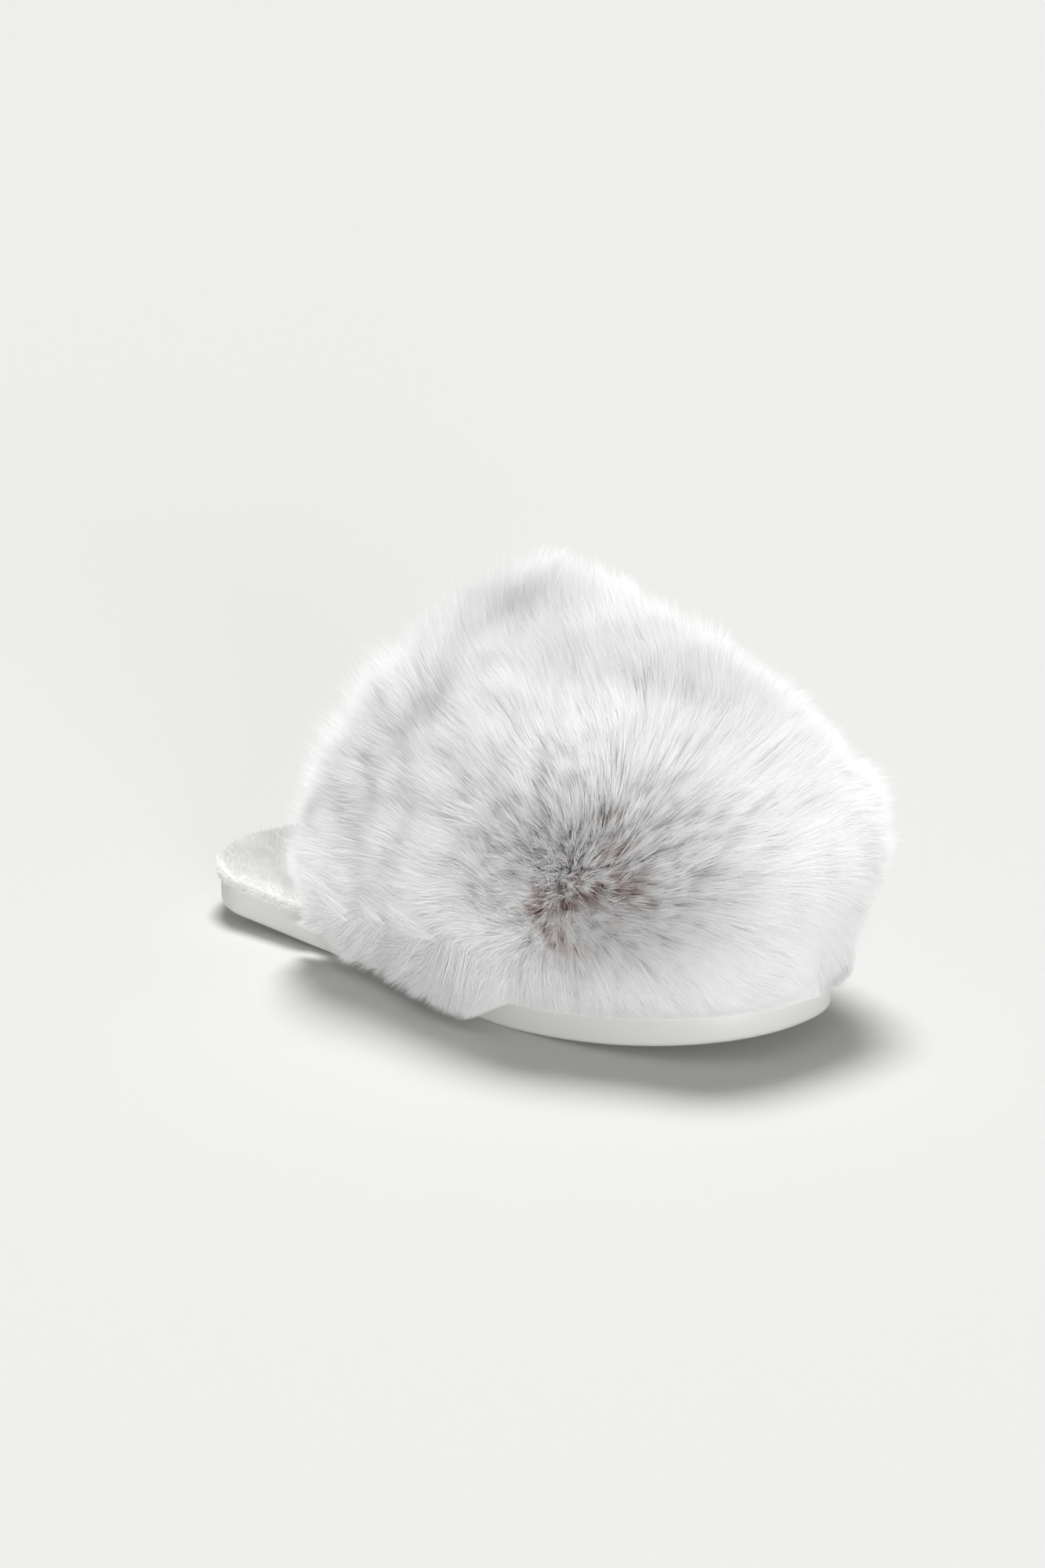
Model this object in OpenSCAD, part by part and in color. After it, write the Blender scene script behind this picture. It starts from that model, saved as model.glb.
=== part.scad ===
// Closed-toe fluffy house slipper for the right foot, as an assembly of its separate pieces.
// Frame: +Z up, toe towards -Y, inner side of the foot towards +X. The origin is on the floor.
// Millimetres.

/* [Outsole] */
// Length of the outsole, heel to toe
sole_len = 262; // [225:1:310]
// Width of the outsole across the ball of the foot
ball_w = 103; // [88:1:122]
// Width of the outsole across the heel
heel_w = 72; // [62:1:86]
// How far each side pulls in at the waist
waist_in = 6; // [0:0.5:8]
// How far the toe tip leans to the inner side of the foot
toe_shift = 6; // [0:0.5:12]
// Length of the rounded toe
toe_round = 93; // [75:1:112]
// Length of the rounded heel
heel_round = 29; // [24:1:36]
// Height of the outsole's side wall
sole_h = 11.5; // [11:0.5:20]
// Thickness of the cup's rim
rim_w = 2.5; // [2:0.25:3.5]
// Lift of the toe end off the floor
toe_lift = 8.5; // [0:0.5:14]
// Lift of the heel end off the floor
heel_lift = 5.5; // [0:0.5:10]
// Size of the rounding along the outsole's lower edge
sole_bevel = 2; // [1:0.25:2.5]
// Depth of the tread grooves
tread_depth = 1.6; // [0.8:0.2:2]
// Width of a tread groove
tread_groove = 3; // [2:0.5:4]
// Distance from one tread groove to the next
tread_pitch = 9; // [7:0.5:15]
// Plain border round the tread
tread_border = 12; // [9:0.5:16]

/* [Footbed] */
// Thickness of the insole board
board_t = 1.5; // [1:0.1:2]
// Thickness of the firm foam layer
base_foam_t = 2.4; // [1.8:0.2:3]
// Thickness of the soft foam layer
soft_foam_t = 2; // [1.6:0.2:2.6]
// Thickness of the plush sock over the footbed, pile included
sock_t = 4.5; // [3:0.25:7]
// How far the sock's pile stands out past the outsole at the bare heel
sock_proud = 1; // [0:0.25:3]

/* [Upper] */
// Distance from the middle of the sole back to the upper's rear edge, down at the sole
side_back = 56; // [45:1:66]
// Distance from the middle of the sole forward to the upper's rear edge, up on the instep
instep_front = 18; // [4:1:26]
// Height of the fur's backing cloth above the outsole, at the instep
upper_h = 105; // [88:1:126]
// Fullness of the toe in side view: 2 is an ellipse, more is blunter
toe_fullness = 2; // [1.8:0.1:3]
// Fullness of the arch across the foot: 2 is an ellipse, more is squarer
arch_fullness = 2.6; // [2:0.05:2.8]
// Thickness of the backing cloth
cloth_t = 1.2; // [0.8:0.1:2]
// Thickness of the toe puff
puff_t = 0.8; // [0.6:0.1:1.4]
// Distance of the toe puff's rear edge from the toe, along the sole
puff_len = 78; // [60:1:95]
// Thickness of the foam padding
padding_t = 3; // [2:0.25:5]
// Thickness of the plush lining, pile included
lining_t = 5; // [3:0.25:7]

/* [Fur] */
// Length of the fur's pile over the instep and the toe
fur_t = 31; // [20:0.5:38]
// Length of the pile down at the outsole's edge
fur_edge_t = 9; // [3:0.5:10]
// How far the fur hangs back over the upper's rear edge
fur_back = 11; // [4:0.5:14]

/* [Binding] */
// Width of the binding tape on each side of the upper's rear edge
binding_w = 8; // [6:0.5:14]
// Thickness of the binding tape
binding_t = 1; // [0.6:0.1:1.6]
// Thickness of the sewing thread
thread_d = 0.7; // [0.5:0.1:1]
// Distance from one binding stitch to the next
stitch_pitch = 5; // [4:0.5:7]
// Distance of the binding stitches from the tape's edge
stitch_edge = 2.4; // [1.5:0.1:4]
// Distance from one stitch of the insole seam to the next
seam_pitch = 6; // [4:0.5:8]

/* [Hidden] */

gap = 0.15;             // air between two pieces that lie on each other
side_steps = 44;        // outline points along each side
profile_steps = 40;     // points along the sole's curved side view
arch_steps = 20;        // facets over the arch of the upper
station_steps = 20;     // facets along the upper, rear edge to toe
half_len = sole_len / 2;
heel_r = heel_w / 2;
ball_r = ball_w / 2;

// Side view: the outsole lies flat between two places and curves up to both ends
flat_back = 36;
flat_front = -32;
heel_curve = 1.4;
toe_curve = 2;

// Outline: shares of the length, 0 at the heel and 1 at the toe, and squareness of the toe
waist_at = 0.42;
waist_spread = 0.12;
flare_from = 0.15;
flare_to = 0.68;
bend_from = 0.3;
toe_square = 2.3;

// Heights over the lowest point of the outsole, from the cup's floor up
cup_z = sole_h - (board_t + base_foam_t + soft_foam_t + 3 * gap);
base_foam_z = cup_z + board_t + 2 * gap;
soft_foam_z = base_foam_z + base_foam_t + gap;
sock_z = soft_foam_z + soft_foam_t + gap;

// Distances inside the outline
cup_in = rim_w;
board_in = cup_in + gap;
seam_in = cup_in + gap + thread_d / 2;
upper_in = cup_in + thread_d + 2 * gap;

// Each layer of the upper starts this far inside the backing cloth's outer face
puff_in = cloth_t + gap;
padding_in = puff_in + puff_t + gap;
lining_in = padding_in + padding_t + gap;
cavity_in = lining_in + lining_t;
thin_edge = 0.45;       // down at the sole the layers have this share of their thickness
full_height = 42;       // and their full thickness this far above it
tape_fade = 8;          // angle over which the fur comes back down past the binding
bind_out = gap + binding_t;
bind_steps = 36;
bind_low = 1.2;           // angle over the arch at which the binding starts and ends
footbed_in = upper_in + cavity_in * thin_edge + gap;
skirt_h = sole_h - cup_z - board_t - 2 * gap;

// ---- outline and side view of the sole ----
function ramp(a, b, x) = let (k = max(0, min(1, (x - a) / (b - a)))) k * k * (3 - 2 * k);
function cap(len, d, square) = d >= len ? 1 : pow(max(0, 1 - pow((len - d) / len, square)), 1 / square);
function half_width(t) =
    (heel_r + (ball_r - heel_r) * ramp(flare_from, flare_to, t)
     - waist_in * exp(-pow((t - waist_at) / waist_spread, 2)))
    * cap(heel_round, t * sole_len, 2) * cap(toe_round, (1 - t) * sole_len, toe_square);
function centre_x(t) = toe_shift * pow(max(0, (t - bend_from) / (1 - bend_from)), 2);

// Point of the outline at an angle: 0 is the heel, 180 the toe, and the outer side comes first
function rim_point(a) = let (t = (1 - cos(a)) / 2)
    [centre_x(t) - sign(sin(a)) * half_width(t), half_len - sole_len * t];
function rim_normal(a) = let (d = rim_point(a + 0.5) - rim_point(a - 0.5)) [-d.y, d.x] / norm(d);
function inset_point(a, inset) = rim_point(a) + inset * rim_normal(a);
function outline(inset) = [for (i = [0 : 2 * side_steps - 1]) inset_point(180 * i / side_steps, inset)];

// Angle at which the outline passes a place along the length
function angle_at(y) = acos(y / half_len);

// The foams and the sock fill the cup at the bare heel and narrow to fit inside the upper
function bed_point(a, bare) = let (y = rim_point(a).y)
    inset_point(a, bare + (footbed_in - bare) * ramp(side_back + 14, side_back + 2, y));
function bed_outline(bare) = [for (i = [0 : 2 * side_steps - 1]) bed_point(180 * i / side_steps, bare)];

// Height of the sole's underside over the floor
function lift(y) =
    y > flat_back ? heel_lift * pow((y - flat_back) / (half_len - flat_back), heel_curve)
    : y < flat_front ? toe_lift * pow((flat_front - y) / (half_len + flat_front), toe_curve)
    : 0;

// A slab that follows the sole's side view between two heights
module side_view(low, high) {
    span = half_len + 12;
    ys = [for (i = [0 : profile_steps]) span - 2 * span * i / profile_steps];
    rotate([90, 0, 90])
        translate([0, 0, -ball_w])
            linear_extrude(2 * ball_w)
                polygon(concat([for (y = ys) [y, lift(y) + low]],
                               [for (i = [profile_steps : -1 : 0]) [ys[i], lift(ys[i]) + high]]));
}

// A layer of the sole: an outline, extruded and cut to that slab
module layer(points, low, thick) {
    intersection() {
        translate([0, 0, -1])
            linear_extrude(sole_h + toe_lift + heel_lift + 60)
                polygon(points);
        side_view(low, low + thick);
    }
}

module outsole() {
    color("honeydew")
        difference() {
            union() {
                layer(outline(0), sole_bevel, sole_h - sole_bevel);
                layer(outline(sole_bevel * 0.35), sole_bevel / 2, sole_h / 2);
                layer(outline(sole_bevel), 0, sole_h / 2);
            }
            layer(outline(cup_in), cup_z, sole_h);
            tread_grooves();
        }
}

// Straight grooves across the flat part of the sole, in two rows that stop short of its border
module tread_grooves() {
    count = floor((flat_back - flat_front - tread_groove) / tread_pitch);
    first = (flat_back + flat_front - (count - 1) * tread_pitch) / 2;
    for (i = [0 : count - 1])
        let (y = first + i * tread_pitch,
             t = (half_len - y) / sole_len,
             row = half_width(t) - tread_border - tread_groove)
            for (side = [-1, 1])
                translate([centre_x(t) + side * (row / 2 + tread_groove), y, 0])
                    cube([row, tread_groove, 2 * tread_depth], center = true);
}

module insole_board() {
    color("burlywood") layer(outline(board_in), cup_z + gap, board_t);
}

// Stitches that join the upper's lower edge to the insole board, in the gap inside the cup's rim
module insole_seam() {
    start = angle_at(side_back - 3);
    count = floor((180 - start) * PI / 180 * half_len / seam_pitch);
    color("white")
        for (i = [0 : 2 * count])
            let (p = inset_point(start + (180 - start) * i / count, seam_in))
                translate([p.x, p.y, lift(p.y) + cup_z + board_t + 3 * gap])
                    cylinder(h = skirt_h - 2 * gap, d = thread_d, $fn = 16);
}

module base_foam() {
    color("lightgray") layer(bed_outline(board_in), base_foam_z, base_foam_t);
}

module soft_foam() {
    color("lightyellow") layer(bed_outline(board_in), soft_foam_z, soft_foam_t);
}

// The plush sock lies on the foam and over the cup's rim at the bare heel
module sock_lining() {
    color("white")
        union() {
            layer(bed_outline(sock_t / 3 - sock_proud), sock_z, sock_t / 3);
            layer(bed_outline(-sock_proud), sock_z + sock_t / 5, sock_t / 2);
            layer(bed_outline(sock_t / 5 - sock_proud), sock_z + sock_t / 2, sock_t / 3);
            layer(bed_outline(sock_t / 2 - sock_proud), sock_z + sock_t / 2, sock_t / 2);
        }
}

// ---- the upper ----
// The upper's layers lie between surfaces of one family. A surface is a row of slanted arches that
// stand on the outline, from the rear edge to the toe. Its distance is measured out from the
// backing cloth's outer face, and at the sole only the share thin of it is left.
function full_sin(f) = pow(sin(f), 2 / arch_fullness);
function full_cos(f) = sign(cos(f)) * pow(abs(cos(f)), 2 / arch_fullness);
function upper_point(a, f, out, thin) =
    let (k = max(0, (side_back - rim_point(a).y) / (side_back + half_len)),
         crest = pow(max(0, 1 - pow(k, toe_fullness)), 0.5) * upper_h,
         d = out * (thin + (1 - thin) * ramp(0, full_height, crest * full_sin(f))),
         left = inset_point(a, upper_in - d),
         right = inset_point(360 - a, upper_in - d),
         middle = (left + right) / 2,
         half = (right - left) / 2,
         crest_out = d * pow(max(0, 1 - pow(k, 6)), 0.5),
         lean = (side_back + instep_front) * (1 - k) * pow(sin(f), 1.3))
    [middle.x - half.x * full_cos(f),
     middle.y - half.y * full_cos(f) - lean,
     lift(left.y) + sole_h + gap + (crest + crest_out) * full_sin(f)];

// Angles round the outline at which the arches stand
function stations(y) = let (from = angle_at(y))
    [for (i = [0 : station_steps - 1]) from + (180 - from) * sin(90 * i / station_steps)];

// Arch points at one station. A skirt adds one more point at each end, straight down.
function arch(a, out, thin, skirt) =
    let (p = [for (j = [0 : arch_steps]) upper_point(a, 180 * j / arch_steps, out, thin)])
    skirt == 0 ? p : concat([p[0] - [0, 0, skirt]], p, [p[arch_steps] - [0, 0, skirt]]);

// Skin of a shell between two grids of the same rows and columns that end in one toe edge
function grid_faces(rows, cols) =
    let (n = rows * cols)
    concat(
        [for (i = [0 : rows - 2], j = [0 : cols - 2])
            let (p = i * cols + j, q = p + cols)
            each [[p, p + 1, q], [p + 1, q + 1, q], [n + p, n + q, n + p + 1], [n + p + 1, n + q, n + q + 1]]],
        [for (j = [0 : cols - 2]) each [[j, n + j, j + 1], [j + 1, n + j, n + j + 1]]],
        [for (i = [0 : rows - 2])
            let (p = i * cols, q = p + cols)
            each [[p, q, n + p], [n + p, q, n + q],
                  [p + cols - 1, n + p + cols - 1, q + cols - 1],
                  [n + p + cols - 1, n + q + cols - 1, q + cols - 1]]]);

// The last arch folds flat at the toe: its two halves close on each other like a zip
function toe_faces(first, cols, turn) =
    [for (j = [0 : floor(cols / 2) - 1])
        let (p = first + j, q = first + cols - 1 - j)
        each [turn ? [p, q, p + 1] : [p, p + 1, q],
              if (q - 1 > p + 1) turn ? [p + 1, q, q - 1] : [p + 1, q - 1, q]]];

// tape lifts the inner grid over the binding
module upper_shell(angles, outer, outer_thin, inner, inner_thin, skirt, tape = 0) {
    rows = len(angles);
    cols = arch_steps + 1 + (skirt == 0 ? 0 : 2);
    n = rows * cols;
    outside = [for (i = [0 : rows - 1]) each arch(angles[i], outer, outer_thin, skirt)];
    tape_end = angle_at(side_back - binding_w);
    inside = [for (a = angles)
        each arch(a, inner + tape * (1 - ramp(tape_end, tape_end + tape_fade, a)), inner_thin, skirt)];
    polyhedron(concat(outside, inside),
               concat(grid_faces(rows, cols),
                      toe_faces(n - cols, cols, false), toe_faces(2 * n - cols, cols, true),
                      [[n - cols, n - 1, 2 * n - cols], [n - 1, 2 * n - 1, 2 * n - cols]]),
               convexity = 6);
}

module vamp_lining() {
    color("snow") upper_shell(stations(side_back), -lining_in, thin_edge, -cavity_in, thin_edge, skirt_h);
}

module vamp_padding() {
    color("khaki")
        upper_shell(stations(side_back), -padding_in, thin_edge, gap - lining_in, thin_edge, skirt_h);
}

module toe_puff() {
    color("gray")
        upper_shell(stations(puff_len - half_len), -puff_in, thin_edge, gap - padding_in, thin_edge, skirt_h);
}

module vamp_backing() {
    color("mistyrose") upper_shell(stations(side_back), 0, 1, -cloth_t, thin_edge, skirt_h);
}

module vamp_fur() {
    color("white")
        upper_shell(stations(side_back + fur_back), fur_t, fur_edge_t / fur_t, gap, 1, 0,
                    bind_out + 2 * thread_d);
}

// The binding is a folded tape: a U across the rear edge, swept over the arch. Each corner of the U
// is a distance forward of the rear edge and a distance out from the backing's outer face.
bind_u = [[binding_w, gap], [-gap, gap], [-gap, -cavity_in - gap], [binding_w, -cavity_in - gap],
          [binding_w, -cavity_in - bind_out], [-bind_out, -cavity_in - bind_out],
          [-bind_out, bind_out], [binding_w, bind_out]];
function bind_point(f, u) =
    upper_point(angle_at(side_back - u[0]), f, u[1], u[1] > 0 ? 1 : thin_edge);
function bind_angle(i, steps) = bind_low + (180 - 2 * bind_low) * i / steps;

module topline_binding() {
    c = len(bind_u);
    points = [for (i = [0 : bind_steps], u = bind_u) bind_point(bind_angle(i, bind_steps), u)];
    last = bind_steps * c;
    sides = [for (i = [0 : bind_steps - 1], j = [0 : c - 1])
        let (p = i * c + j, q = i * c + (j + 1) % c)
        each [[p, p + c, q], [q, p + c, q + c]]];
    ends = [[0, 1, 6], [0, 6, 7], [1, 2, 5], [1, 5, 6], [2, 3, 4], [2, 4, 5]];
    color("ivory")
        polyhedron(points,
                   concat(sides, ends, [for (e = ends) [last + e[2], last + e[1], last + e[0]]]),
                   convexity = 6);
}

// A straight piece of thread between two points
module thread(a, b) {
    d = b - a;
    translate(a)
        rotate([0, acos(d.z / norm(d)), atan2(d.y, d.x)])
            cylinder(h = norm(d), d = thread_d, $fn = 16);
}

// One row of stitches on each face of the binding, near its front edge
arch_length = 2.6;      // length of the rear arch, in heights of the upper
module binding_stitches() {
    count = floor(arch_length * upper_h / stitch_pitch);
    color("white")
        for (i = [1 : count - 2], out = [bind_out + thread_d, -cavity_in - bind_out - thread_d])
            thread(bind_point(bind_angle(i + 0.2, count), [binding_w - stitch_edge, out]),
                   bind_point(bind_angle(i + 0.75, count), [binding_w - stitch_edge, out]));
}

outsole();
insole_board();
insole_seam();
base_foam();
soft_foam();
sock_lining();
vamp_lining();
vamp_padding();
toe_puff();
vamp_backing();
vamp_fur();
topline_binding();
binding_stitches();
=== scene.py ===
import math
import bpy
import numpy as np
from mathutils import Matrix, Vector


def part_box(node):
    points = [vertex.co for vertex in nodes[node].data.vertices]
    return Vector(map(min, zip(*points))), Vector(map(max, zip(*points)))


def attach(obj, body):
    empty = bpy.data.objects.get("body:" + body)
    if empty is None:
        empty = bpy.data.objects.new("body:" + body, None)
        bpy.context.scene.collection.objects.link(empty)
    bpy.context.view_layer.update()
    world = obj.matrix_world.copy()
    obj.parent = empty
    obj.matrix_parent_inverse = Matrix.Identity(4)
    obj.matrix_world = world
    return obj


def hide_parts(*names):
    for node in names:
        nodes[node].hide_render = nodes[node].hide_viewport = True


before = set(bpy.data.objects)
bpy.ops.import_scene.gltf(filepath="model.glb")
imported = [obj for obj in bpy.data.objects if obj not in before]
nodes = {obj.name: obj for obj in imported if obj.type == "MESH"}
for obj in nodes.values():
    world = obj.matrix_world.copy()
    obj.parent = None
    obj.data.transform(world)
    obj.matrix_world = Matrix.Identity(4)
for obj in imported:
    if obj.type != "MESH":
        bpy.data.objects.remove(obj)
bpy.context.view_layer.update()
mm = 0.001
close = 0.01               # heights this near, in millimetres, are the same
print("frame loaded")

# the sole's shape in millimetres, as the part's own source has it
soleLow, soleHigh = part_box("outsole")
sole = {
    "length": round((soleHigh.y - soleLow.y) / mm, 1),
    "ballWidth": 103.0,
    "heelWidth": 72.0,
    "ballAt": 0.68,        # places along the sole, as shares from the heel
    "heelEndAt": 0.15,
    "waistAt": 0.42,
    "waistSpan": 0.12,
    "waistIn": 6.0,        # how far the sides draw in there
    "toeShift": 6.0,       # how far the toe leans to the inner side
    "toeShiftFrom": 0.3,
    "toeRound": 93.0,
    "toeSquare": 2.3,      # 2 is round, and more is squarer
    "heelRound": 29.0,
    "heelSquare": 2.0,
    "wall": 11.5,          # height of the side wall
    "rim": 2.5,            # thickness of the cup's rim
    "cup": 5.15,           # height of the cup's floor
    "toeLift": 8.5,
    "toeCurve": 2.0,
    "heelLift": 5.5,
    "heelCurve": 1.4,
    "flatBack": 36.0,      # the sole is flat between these two places
    "flatFront": -32.0,
    "points": 176,         # of its outline
    "cuts": (14, 16),      # across it behind and before the flat, which let it curve up
    "lastCut": 1.5,        # how far from its ends the last ones are
    "bottomBevel": 2.0,
    "topBevel": 0.8,
    "treadPitch": 9.0,
    "treadGroove": 3.0,
    "treadDepth": 1.6,
    "treadBorder": 12.0,
}
upper = {
    "sideBack": 56.0,      # rear edge at the sole
    "instepFront": 18.0,   # rear edge at the instep
    "height": 105.0,
    "toeFullness": 2.0,
    "archFullness": 2.6,
    "crestFullness": 6,
    "leanCurve": 1.3,      # how late the rear edge leans forward on its way up
    "fullHeight": 42.0,    # over this height the layers have their full thickness
    "thinEdge": 0.45,      # share of it that is left at the sole
    "cloth": 1.2,
    "puffIn": 1.35,        # distances in from the backing's outer face
    "paddingIn": 2.3,
    "liningIn": 5.45,
    "cavityIn": 10.45,
    "gap": 0.15,
    "inset": 3.5,          # of the backing inside the sole's outline
    "skirt": 4.55,         # lower edge that is tucked into the cup
    "puffLength": 78.0,
    "bedStep": (14.0, 2.0),   # where the footbed narrows to go between the sides, behind the rear edge
}
halfLen = sole["length"] / 2


# from 0 at a to 1 at b, smoothly
def ramp(a, b, x):
    k = np.clip((np.asarray(x, float) - a) / (b - a), 0, 1)
    return k * k * (3 - 2 * k)


# how wide a rounded end is, as a share, at a distance d from its tip
def capEnd(length, d, square):
    k = np.clip((length - d) / length, 0, 1)
    return np.maximum(0, 1 - k ** square) ** (1 / square)


# t goes from 0 at the heel to 1 at the toe
def halfWidth(t):
    heel, ball = sole["heelWidth"] / 2, sole["ballWidth"] / 2
    waist = sole["waistIn"] * np.exp(-(((t - sole["waistAt"]) / sole["waistSpan"]) ** 2))
    ends = capEnd(sole["heelRound"], t * sole["length"], sole["heelSquare"])
    ends = ends * capEnd(sole["toeRound"], (1 - t) * sole["length"], sole["toeSquare"])
    return (heel + (ball - heel) * ramp(sole["heelEndAt"], sole["ballAt"], t) - waist) * ends


def centreX(t):
    start = sole["toeShiftFrom"]
    return sole["toeShift"] * np.clip((t - start) / (1 - start), 0, None) ** 2


# a point of the outline: 0 degrees is the heel, 180 the toe, and the outer side comes first
def rimPoint(deg):
    a = np.radians(deg)
    t = (1 - np.cos(a)) / 2
    x = centreX(t) - np.sign(np.round(np.sin(a), 9)) * halfWidth(t)
    return np.stack([x, halfLen - sole["length"] * t], -1)


# the same outline moved inwards
def insetPoint(deg, inset):
    d = rimPoint(deg + 0.5) - rimPoint(deg - 0.5)
    d = d / np.linalg.norm(d, axis=-1, keepdims=True)
    inward = np.stack([-d[..., 1], d[..., 0]], -1)
    return rimPoint(deg) + np.asarray(inset)[..., None] * inward


# how far the sole curves up from the floor
def liftAt(y):
    y = np.asarray(y, float)
    back = np.clip((y - sole["flatBack"]) / (halfLen - sole["flatBack"]), 0, None) ** sole["heelCurve"]
    front = np.clip((sole["flatFront"] - y) / (halfLen + sole["flatFront"]), 0, None) ** sole["toeCurve"]
    return sole["heelLift"] * back + sole["toeLift"] * front


# the outline's angle at a place along the sole
def angleAt(y):
    return math.degrees(math.acos(y / halfLen))


# a point of the upper: deg goes round the outline, f over the arch, out is away from the backing
def upperPoint(deg, f, out, thin):
    deg, f, out = np.broadcast_arrays(np.asarray(deg, float), f, out)
    fr = np.radians(f)
    sinF, cosF = np.clip(np.sin(fr), 0, 1), np.cos(fr)
    fullSin = sinF ** (2 / upper["archFullness"])
    fullCos = np.sign(cosF) * np.abs(cosF) ** (2 / upper["archFullness"])
    run = upper["sideBack"] + halfLen
    k = np.clip((upper["sideBack"] - rimPoint(deg)[..., 1]) / run, 0, 1)
    crest = np.sqrt(1 - k ** upper["toeFullness"]) * upper["height"]
    d = out * (thin + (1 - thin) * ramp(0, upper["fullHeight"], crest * fullSin))
    left = insetPoint(deg, upper["inset"] - d)
    right = insetPoint(360 - deg, upper["inset"] - d)
    middle, half = (left + right) / 2, (right - left) / 2
    crestOut = d * np.sqrt(np.maximum(0, 1 - k ** upper["crestFullness"]))
    lean = (upper["sideBack"] + upper["instepFront"]) * (1 - k) * sinF ** upper["leanCurve"]
    base = sole["wall"] + upper["gap"] + liftAt(left[..., 1])
    return np.stack([middle[..., 0] - half[..., 0] * fullCos,
                     middle[..., 1] - half[..., 1] * fullCos - lean,
                     base + (crest + crestOut) * fullSin], -1)


# the footbed's outline: bare is its inset at the heel, and under the upper it goes between the sides
def bedPoint(deg, bare):
    inside = upper["inset"] + upper["cavityIn"] * upper["thinEdge"] + upper["gap"]
    wide, narrow = (upper["sideBack"] + step for step in upper["bedStep"])
    return insetPoint(deg, bare + (inside - bare) * ramp(wide, narrow, rimPoint(deg)[..., 1]))


def unit(v):
    return v / np.maximum(np.linalg.norm(v, axis=-1, keepdims=True), 1e-9)


def makeRng(seed):
    return np.random.default_rng(seed)


noiseSide, lockSide = 32, 24     # lumps and locks across, before the noise or the locks repeat


# smooth noise from -1 to 1 in space, with lumps about size millimetres across
def lumps(points, size, seed):
    table = makeRng(seed).uniform(-1, 1, (noiseSide,) * 3)
    p = points / size + 100
    cell = np.floor(p).astype(int)
    w = p - cell
    w = w * w * (3 - 2 * w)
    total = 0
    for i, j, k in np.ndindex(2, 2, 2):
        weight = ((w[:, 0] if i else 1 - w[:, 0]) * (w[:, 1] if j else 1 - w[:, 1])
                  * (w[:, 2] if k else 1 - w[:, 2]))
        x, y, z = ((cell + (i, j, k)) % noiseSide).T
        total = total + weight * table[x, y, z]
    return total


# which lock of hair each root belongs to: the nearest of scattered points, size millimetres apart
def lockOf(points, size, seed):
    table = makeRng(seed).uniform(0, 1, (lockSide,) * 3 + (3,))
    cell = np.floor(points / size).astype(int)
    best = np.full(len(points), 1e9)
    lock = np.zeros((len(points), 3), int)
    for step in np.ndindex(3, 3, 3):
        c = cell + np.array(step) - 1
        x, y, z = (c % lockSide).T
        d = (((c + table[x, y, z]) * size - points) ** 2).sum(1)
        near = d < best
        best[near] = d[near]
        lock[near] = c[near]
    # one whole number for each lock, as no place is more than 200 locks from the middle
    lock = (lock + 200) @ (1, 512, 512 ** 2)
    _, ids = np.unique(lock, return_inverse=True)
    return ids.ravel()


# each lock's mean of a value
def meanOf(ids, values):
    return np.bincount(ids, values) / np.maximum(np.bincount(ids), 1)


def deselect():
    for o in bpy.context.selected_objects:
        o.select_set(False)


hair = {
    "steps": 2,            # ribbon parts from root to tip
    "turn": 0.55,          # radians by which the ribbons turn about their length
    "taper": 0.6,
    "tintBand": 0.012,     # how wide a hair is on the map
}


# tapered hairs as one mesh: each is a narrow ribbon along a bent line from root to tip
def hairMesh(name, root, mid, tip, width, tint, facing, seed):
    count, steps = len(root), hair["steps"]
    s = np.linspace(0, 1, steps + 1)[None, :, None]
    r, m, t = root[:, None], mid[:, None], tip[:, None]
    line = (1 - s) ** 2 * r + 2 * s * (1 - s) * m + s ** 2 * t
    along = unit(2 * (1 - s) * (m - r) + 2 * s * (t - m))
    side = unit(np.cross(along, facing[:, None]))
    turn = makeRng(seed).normal(0, hair["turn"], (count, 1, 1))
    side = np.cos(turn) * side + np.sin(turn) * np.cross(side, along)
    half = (width[:, None, None] / 2) * (1 - hair["taper"] * s ** 2)
    a, b = line - side * half, line + side * half
    pairs = np.stack([a[:, :steps], b[:, :steps]], 2).reshape(count, steps * 2, 3)
    verts = np.concatenate([pairs, line[:, steps:]], 1).reshape(-1, 3) * mm
    per = steps * 2 + 1
    first = np.arange(count)[:, None] * per
    quads = np.stack([np.array([0, 1, 3, 2]) + 2 * i for i in range(steps - 1)]).ravel()
    ends = np.array([per - 3, per - 2, per - 1])
    loops = (first + np.concatenate([quads, ends])[None]).ravel().astype(np.int32)
    sizes = np.tile(np.array([4] * (steps - 1) + [3]), count)
    starts = np.concatenate([[0], np.cumsum(sizes)[:-1]]).astype(np.int32)
    mesh = bpy.data.meshes.new(name)
    mesh.vertices.add(len(verts))
    mesh.vertices.foreach_set("co", verts.astype(np.float32).ravel())
    mesh.loops.add(len(loops))
    mesh.loops.foreach_set("vertex_index", loops)
    mesh.polygons.add(len(sizes))
    mesh.polygons.foreach_set("loop_start", starts)
    mesh.polygons.foreach_set("use_smooth", np.ones(len(sizes), bool))
    # across the map goes the hair's own tint, and up it the way from root to tip
    alongV = np.concatenate([np.repeat(np.arange(steps) / steps, 2), [1.0]])
    acrossU = np.concatenate([np.tile([0.0, 1.0], steps), [0.5]]) * hair["tintBand"]
    uvVert = np.stack([np.clip(tint, 0.01, 0.97)[:, None] + acrossU[None],
                       np.tile(0.01 + 0.98 * alongV, (count, 1))], -1).reshape(-1, 2)
    layer = mesh.uv_layers.new(name="OFBake")
    layer.uv.foreach_set("vector", uvVert[loops].astype(np.float32).ravel())
    mesh.update()
    mesh.validate()
    piece = bpy.data.objects.new(name, mesh)
    bpy.context.scene.collection.objects.link(piece)
    return piece


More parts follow.
